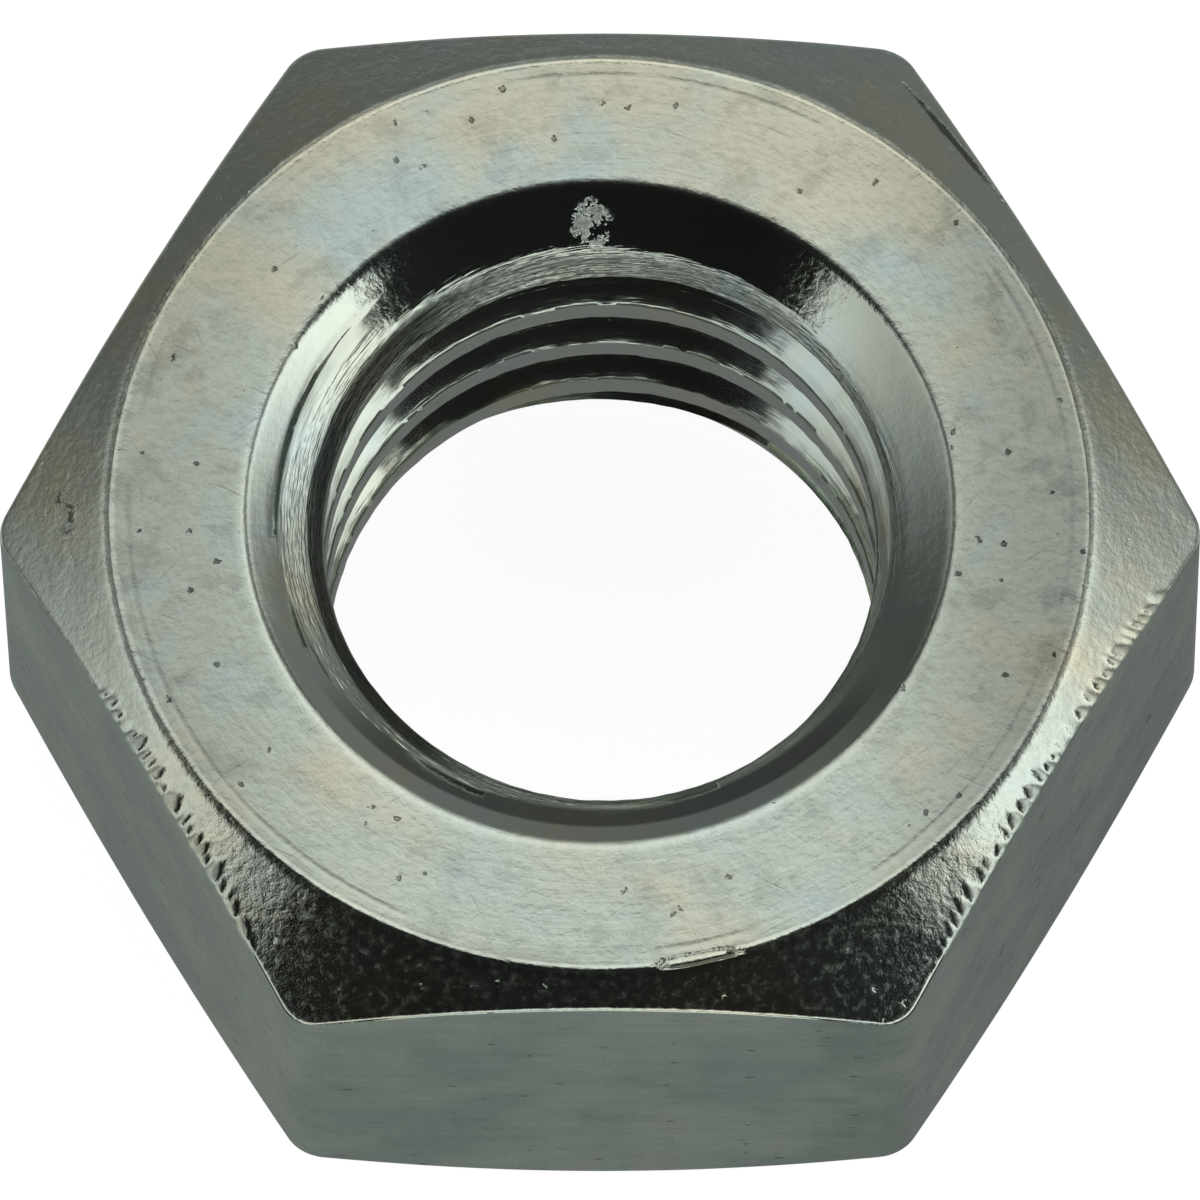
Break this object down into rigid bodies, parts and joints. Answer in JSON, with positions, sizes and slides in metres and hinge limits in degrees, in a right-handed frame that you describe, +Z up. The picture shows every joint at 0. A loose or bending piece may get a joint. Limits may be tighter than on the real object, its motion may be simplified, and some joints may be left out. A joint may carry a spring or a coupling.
{
  "type": "hex nut",
  "caption": "Hexagonal steel nut with a left-hand M8 x 1.25 threaded hole, countersunk and chamfered on both faces, zinc plated",
  "frame": {"origin": "centre of the lower bearing face, on the thread axis", "axes": "Z up along the thread axis; X through two opposite corners; Y square to the front and back wrench flats"},
  "size_m": [0.0148, 0.013, 0.0062],
  "materials": {
    "zinc_plated_steel": "bright zinc plate with a clear passivation, satin faces and glossier chamfers"
  },
  "bodies": {
    "root": {"nut_body": "zinc_plated_steel"}
  },
  "joints": []
}
